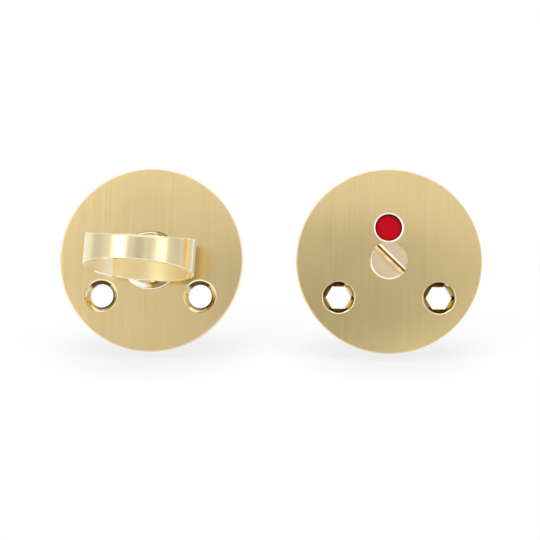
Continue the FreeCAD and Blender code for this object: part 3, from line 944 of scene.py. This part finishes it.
class LOCK_OT_slotted_release(Operator):
    """Make the release with its slotted head, flatted shaft and square socket"""

    bl_idname = "lock.slotted_release"
    bl_label = "Slotted Release"
    bl_options = {"REGISTER", "UNDO"}

    def execute(self, context):
        sizes, colours = settings(context)
        front, end = RELEASE[0].y, RELEASE[1].y
        back = -sizes.rose_thickness - sizes.play
        floor = front + sizes.slot_depth
        mesh = spun([(0, front), (sizes.head, front), (sizes.head, back),
                     (sizes.release_shaft, back), (sizes.release_shaft, end), (0, end)],
                    SMALL_STEPS)
        rounded(mesh, circle(mesh, sizes.head, front), sizes.head_edge)
        rounded(mesh, circle(mesh, sizes.release_shaft, end), sizes.shaft_edge, 1)
        # The head's rim takes painted shade with a painted highlight at its lower left
        for face in mesh.faces:
            on_rim = front + TOUCH < face.calc_center_median().y < front + sizes.head_edge
            face.material_index = 3 if on_rim and abs(face.normal.y) > TOUCH else 0
        # Head's rim and coin slot: painted shade and highlight on the rim, a painted shadow on the
        # slot's steep side, painted light down its slope and a painted highlight on its bevel
        piece = placed(mesh, "slotted_release", [
            brushed_metal("faced_brass", colours.release_brass, centre=(sizes.halves, 0, 0),
                          lathe=sizes.head, lines=4200.0, roughness=(0.26, 0.36),
                          tones=(0.95, 1.04), depth=0.006 * MM, coat_weight=0.5,
                          coat_roughness=0.25),
            bright_metal("bright_cut_release", colours.bright_brass),
            bright_metal("slot_painted_shadow", colours.painted_shade_brown, (0.15, 0.25)),
            patched_metal("head_rim_painted_light", colours.rim_brass, PAINTED_HIGHLIGHT_HEAD_RIM, (0.96, 1.04),
                          (0.14, 0.22), centre=sizes.halves),
            slope_metal("slope_painted_light", colours.rim_brass, colours.slope_painted_light,
                        front + sizes.slot_depth / 20, front + sizes.slot_depth / 4),
            bright_metal("slot_bevel_painted_highlight", colours.highlight_white, (0.12, 0.2))])
        cutters = [
            square_bar(sizes.spindle + 2 * sizes.play, floor + sizes.socket_floor, end + OVERSHOOT),
            groove(sizes.release_shaft - sizes.clip_depth, sizes.head, RELEASE_CLIP[0].y,
                   RELEASE_CLIP[1].y)]
        reach = sizes.head + OVERSHOOT
        for side in (-1, 1):
            near, far = sorted((side * sizes.release_flats / 2, side * reach))
            cutters.append(block((-reach, sizes.front_web - sizes.rose_thickness, near),
                                 (reach, end + OVERSHOOT, far)))
        cutters.append(self.coin_slot(sizes, front, floor, reach))
        carve(piece, cutters)
        piece.data.transform(Matrix.Translation((sizes.halves, 0, 0)))
        finish_piece(piece, "release", "release_button")
        return {"FINISHED"}

    def coin_slot(self, sizes, front, floor, reach):
        """Cutter with a long crowned slope and a steep bevelled side, turned to the slot's angle."""
        long_edge = sizes.slot_offset - sizes.slot_width / 2
        steep_edge = sizes.slot_offset + sizes.slot_width / 2
        start = Vector((front, long_edge))
        end = Vector((floor, steep_edge - sizes.slot_bevel - sizes.slot_draft))
        outward = Vector((start.y - end.y, end.x - start.x)).normalized()
        outline = [start]
        for index in range(1, SLOPE_STEPS):
            share = index / SLOPE_STEPS
            crown = outward * sizes.slot_crown * 4 * share * (1 - share)
            outline.append(start.lerp(end, share) + crown)
        outline += [end, Vector((front + sizes.slot_bevel_depth, steep_edge - sizes.slot_bevel)),
                    Vector((front, steep_edge)), Vector((front - OVERSHOOT, steep_edge)),
                    Vector((front - OVERSHOOT, long_edge))]
        cutter = bmesh.new()
        corners = [cutter.verts.new((-reach, *place)) for place in outline]
        rim = [cutter.edges.new(pair) for pair in zip(corners, corners[1:] + corners[:1])]
        side = bmesh.ops.contextual_create(cutter, geom=rim)["faces"]
        along = bmesh.ops.extrude_face_region(cutter, geom=side)["geom"]
        moved = [item for item in along if isinstance(item, bmesh.types.BMVert)]
        bmesh.ops.translate(cutter, vec=(2 * reach, 0, 0), verts=moved)
        bmesh.ops.recalc_face_normals(cutter, faces=cutter.faces)
        # The slope takes painted light, the bevel a painted highlight and the steep side a painted
        # shadow
        for face in cutter.faces:
            place = face.calc_center_median()
            if place.z <= end.y:
                face.material_index = 4
            else:
                face.material_index = 5 if place.y < front + sizes.slot_bevel_depth else 2
        return turned(cutter, sizes.slot_angle)


class LOCK_OT_indicator_disc(Operator):
    """Make the two-colour indicator disc behind the window"""

    bl_idname = "lock.indicator_disc"
    bl_label = "Indicator Disc"
    bl_options = {"REGISTER", "UNDO"}

    def execute(self, context):
        sizes, colours = settings(context)
        start, end = DISC[0].y, DISC[1].y
        mesh = rod(DISC_RADIUS, start, end, FINE_STEPS)
        rims = circle(mesh, DISC_RADIUS, start) + circle(mesh, DISC_RADIUS, end)
        rounded(mesh, rims, sizes.mouth_edge, 2)
        hole = rod(sizes.release_shaft + sizes.play, start - OVERSHOOT, end + OVERSHOOT)
        flat = sizes.release_flats / 2 + sizes.play
        for side in (-1, 1):
            bmesh.ops.contextual_create(
                hole, geom=cut_off(hole, (0, 0, side * flat), (0, 0, side)))
        fields = indicator_material(sizes, colours)
        piece = placed(mesh, "indicator_fields", [fields, fields])
        carve(piece, [hole])
        piece.data.transform(Matrix.Translation((sizes.halves, 0, 0)))
        finish_piece(piece, "release", "indicator_disc")
        return {"FINISHED"}


class LOCK_OT_hidden_hardware(Operator):
    """Give the spindle, pin, bush, washers and retaining rings their finishes"""

    bl_idname = "lock.hidden_hardware"
    bl_label = "Hidden Hardware"
    bl_options = {"REGISTER", "UNDO"}

    def execute(self, context):
        _, colours = settings(context)
        spring = plated_steel("bright_spring_steel", colours.spring_steel, (0.24, 0.42), 260.0)
        finishes = {
            "bearing_bush": nylon_material(colours.nylon),
            "drive_spindle": plated_steel("zinc_plated_steel", colours.spindle_steel,
                                          (0.3, 0.5), 180.0),
        }
        for node in ("spindle_pin", "turn_spring_washer", "turn_flat_washer",
                     "turn_retaining_ring", "release_spring_washer", "release_flat_washer",
                     "release_retaining_ring"):
            finishes[node] = spring
        for node, finish in finishes.items():
            part = frame["nodes"][node]
            part.data.materials.clear()
            part.data.materials.append(finish)
        return {"FINISHED"}


# Stage

def floor_material(stage, halves):
    """Pale floor that shows as white with its own faint shadow and a painted bluish shadow at the
    foot of each rose, and is clear from below.
    """
    material, tree, place = started("pale_floor")
    path = add(tree, "ShaderNodeLightPath").outputs
    seen = maths(tree, "MAXIMUM", path["Is Camera Ray"], path["Is Glossy Ray"])
    seen = maths(tree, "MAXIMUM", seen, path["Is Transmission Ray"])
    # Painted bluish shadow round the foot of each rose
    left, right = [eased(tree, reach_of(tree, seen_from(tree, place, centre)), *PAINTED_FOOT_SHADOW_FADE)
                   for centre in ((0, PAINTED_FOOT_SHADOW_BACK, FLOOR_TOP), (halves, PAINTED_FOOT_SHADOW_BACK, FLOOR_TOP))]
    shown = mix(tree, maths(tree, "MAXIMUM", left, right), (1.0, 1.0, 1.0, 1.0), PAINTED_FOOT_SHADOW_TINT)
    matt = add(tree, "ShaderNodeBsdfDiffuse", {"Color": FLOOR_TINT})
    white = add(tree, "ShaderNodeEmission", {"Color": shown, "Strength": 1.0})
    share = maths(tree, "MULTIPLY", seen, stage.floor_white)
    lit = add(tree, "ShaderNodeMixShader", {0: share, 1: matt.outputs[0], 2: white.outputs[0]})
    far = eased(tree, reach_of(tree, seen_from(tree, place, (stage.aim[0], 0, 0))), *FLOOR_FADE)
    below = add(tree, "ShaderNodeNewGeometry").outputs["Backfacing"]
    clear = add(tree, "ShaderNodeBsdfTransparent")
    whole = add(tree, "ShaderNodeMixShader", {0: maths(tree, "MAXIMUM", far, below),
                                              1: lit.outputs[0], 2: clear.outputs[0]})
    add(tree, "ShaderNodeOutputMaterial", {"Surface": whole.outputs[0]})
    return material


def make_floor(stage, halves):
    """Plane just below the roses that falls towards the camera."""
    mesh = bmesh.new()
    bmesh.ops.create_grid(mesh, x_segments=1, y_segments=1, size=FLOOR_HALF)
    turned(mesh, stage.floor_slope, "X")
    shifted(mesh, across=stage.aim[0], up=FLOOR_TOP)
    placed(mesh, "pale_floor", [floor_material(stage, halves)])


def facing(azimuth, elevation):
    """Direction from the lock to a place in the studio, azimuth 0 being in front."""
    return Vector((math.sin(azimuth) * math.cos(elevation),
                   -math.cos(azimuth) * math.cos(elevation), math.sin(elevation)))


def ramp(tree, factor, stops):
    """Level along a factor, eased between stops given as place and level."""
    made = add(tree, "ShaderNodeValToRGB", {"Fac": factor})
    made.color_ramp.interpolation = "EASE"
    points = made.color_ramp.elements
    while len(points) < len(stops):
        points.new(0.5)
    for point, (place, value) in zip(points, stops):
        point.position = place
        point.color = (value, value, value, 1.0)
    return made.outputs[0]


def softbox(tree, direction, azimuth, half_width, strength):
    """Light of a softbox with soft edges, seen in one direction from the lock."""
    turned_to = add(tree, "ShaderNodeVectorRotate", {"Vector": direction,
                                                     "Angle": -math.radians(azimuth)},
                    rotation_type="Z_AXIS")
    parts = split(tree, turned_to.outputs[0])
    across = maths(tree, "DIVIDE", parts["X"], half_width)
    up = maths(tree, "SUBTRACT", parts["Z"], math.sin(BOX_ELEVATION))
    up = maths(tree, "DIVIDE", up, BOX_HALF_HEIGHT)
    reach = reach_of(tree, joined(tree, X=across, Z=up))
    light = between(tree, reach, 0.0, strength, *BOX_FADE, "SMOOTHSTEP")
    return maths(tree, "MULTIPLY", light, maths(tree, "LESS_THAN", parts["Y"], 0.0))


def make_world(stage):
    """White studio: softer at the sides and above, with two tall softboxes in front."""
    world = bpy.data.worlds.new("studio")
    bpy.context.scene.world = world
    tree = cleared(world)
    direction = add(tree, "ShaderNodeTexCoord").outputs["Generated"]
    parts = split(tree, direction)
    around = ramp(tree, between(tree, parts["Y"], 0.0, 1.0, -1.0), [
        (0.0, stage.front), (0.2, stage.front), (0.47, stage.sides), (0.55, stage.sides),
        (0.72, 1.0)])
    height = ramp(tree, parts["Z"], [(0.45, 1.0), (1.0, stage.zenith)])
    shown = maths(tree, "MULTIPLY", around, height)
    for azimuth, half_width, light in SOFTBOXES:
        box = softbox(tree, direction, azimuth, half_width, getattr(stage, light))
        shown = maths(tree, "ADD", shown, box)
    background = add(tree, "ShaderNodeBackground", {"Color": (1.0, 1.0, 1.0, 1.0),
                                                    "Strength": shown})
    add(tree, "ShaderNodeOutputWorld", {"Surface": background.outputs[0]})


def make_lamp(stage):
    """Wide soft lamp above the lock."""
    lamp = bpy.data.lights.new("soft_lamp", "AREA")
    lamp.shape = "RECTANGLE"
    lamp.size, lamp.size_y = LAMP_SIZE
    lamp.energy = stage.lamp * math.pi * lamp.size * lamp.size_y
    holder = bpy.data.objects.new("soft_lamp", lamp)
    bpy.context.scene.collection.objects.link(holder)
    away = facing(0.0, LAMP_ELEVATION)
    holder.location = Vector((stage.aim[0], 0, 0)) + away * LAMP_DISTANCE
    holder.rotation_euler = away.to_track_quat("Z", "Y").to_euler()
    holder.visible_camera = False


def make_shape(name, centre, radii, shade):
    """Plain round shape that the metal reflects but the picture doesn't show."""
    material = bpy.data.materials.new(name)
    tree = cleared(material)
    matt = add(tree, "ShaderNodeBsdfDiffuse", {"Color": (shade, shade, shade, 1.0)})
    add(tree, "ShaderNodeOutputMaterial", {"Surface": matt.outputs[0]})
    mesh = bmesh.new()
    bmesh.ops.create_uvsphere(mesh, u_segments=64, v_segments=32, radius=1.0)
    bmesh.ops.scale(mesh, vec=radii, verts=mesh.verts)
    shape = placed(shifted(mesh, *centre), name, [material])
    shape.data.shade_smooth()
    shape.visible_camera = False


def make_camera(stage):
    """Camera where the picture was taken from."""
    lens = bpy.data.cameras.new("camera")
    lens.lens = stage.lens
    lens.sensor_width = 36.0
    lens.clip_start = 0.01
    lens.clip_end = 10.0
    camera = bpy.data.objects.new("camera", lens)
    bpy.context.scene.collection.objects.link(camera)
    target = Vector(stage.aim)
    middle = Vector((target.x, 0, 0))
    camera.location = middle + facing(stage.azimuth, stage.elevation) * stage.distance
    look = (target - camera.location).to_track_quat("-Z", "Y")
    camera.rotation_euler = (look @ Quaternion(Z_AXIS, stage.roll)).to_euler()
    bpy.context.scene.camera = camera


class LOCK_OT_stage(Operator):
    """Set up the floor, the studio light and the camera"""

    bl_idname = "lock.stage"
    bl_label = "Stage"
    bl_options = {"REGISTER", "UNDO"}

    def execute(self, context):
        stage = context.scene.lock_stage
        make_floor(stage, context.scene.lock_sizes.halves)
        make_world(stage)
        make_lamp(stage)
        make_camera(stage)
        seat = context.scene.camera.location
        for name, (place, radii, shade) in STANDING.items():
            make_shape(name, seat + Vector(place), radii, getattr(stage, shade))
        context.scene.view_settings.view_transform = "Standard"
        return {"FINISHED"}


class LOCK_PT_panel(Panel):
    """Sizes, colours, stage and the pieces in their order"""

    bl_idname = "LOCK_PT_panel"
    bl_label = "Thumb Turn Lock"
    bl_space_type = "VIEW_3D"
    bl_region_type = "UI"
    bl_category = "Thumb Turn Lock"

    def draw(self, context):
        for group in GROUPS:
            box = self.layout.box()
            owner = getattr(context.scene, group)
            for name in owner.bl_rna.properties.keys():
                if name not in ("rna_type", "name"):
                    box.prop(owner, name)
        for operator in OPERATORS:
            self.layout.operator(operator.bl_idname)


GROUPS = {"lock_sizes": LockSizes, "lock_colours": LockColours, "lock_stage": LockStage}
OPERATORS = (LOCK_OT_inside_rose, LOCK_OT_outside_rose, LOCK_OT_finger_ring, LOCK_OT_turned_boss,
             LOCK_OT_slotted_release, LOCK_OT_indicator_disc, LOCK_OT_hidden_hardware,
             LOCK_OT_stage)
CLASSES = (*GROUPS.values(), *OPERATORS, LOCK_PT_panel)


def register():
    """Register the classes and give the scene its settings."""
    for item in CLASSES:
        bpy.utils.register_class(item)
    for name, group in GROUPS.items():
        setattr(bpy.types.Scene, name, PointerProperty(type=group))


def unregister():
    """Take the settings and the classes away again."""
    for name in GROUPS:
        delattr(bpy.types.Scene, name)
    for item in reversed(CLASSES):
        bpy.utils.unregister_class(item)


def main():
    """Make every piece and the stage."""
    register()
    bpy.ops.lock.inside_rose()
    bpy.ops.lock.outside_rose()
    bpy.ops.lock.finger_ring()
    bpy.ops.lock.turned_boss()
    bpy.ops.lock.slotted_release()
    bpy.ops.lock.indicator_disc()
    bpy.ops.lock.hidden_hardware()
    bpy.ops.lock.stage()


if __name__ == "__main__":
    main()
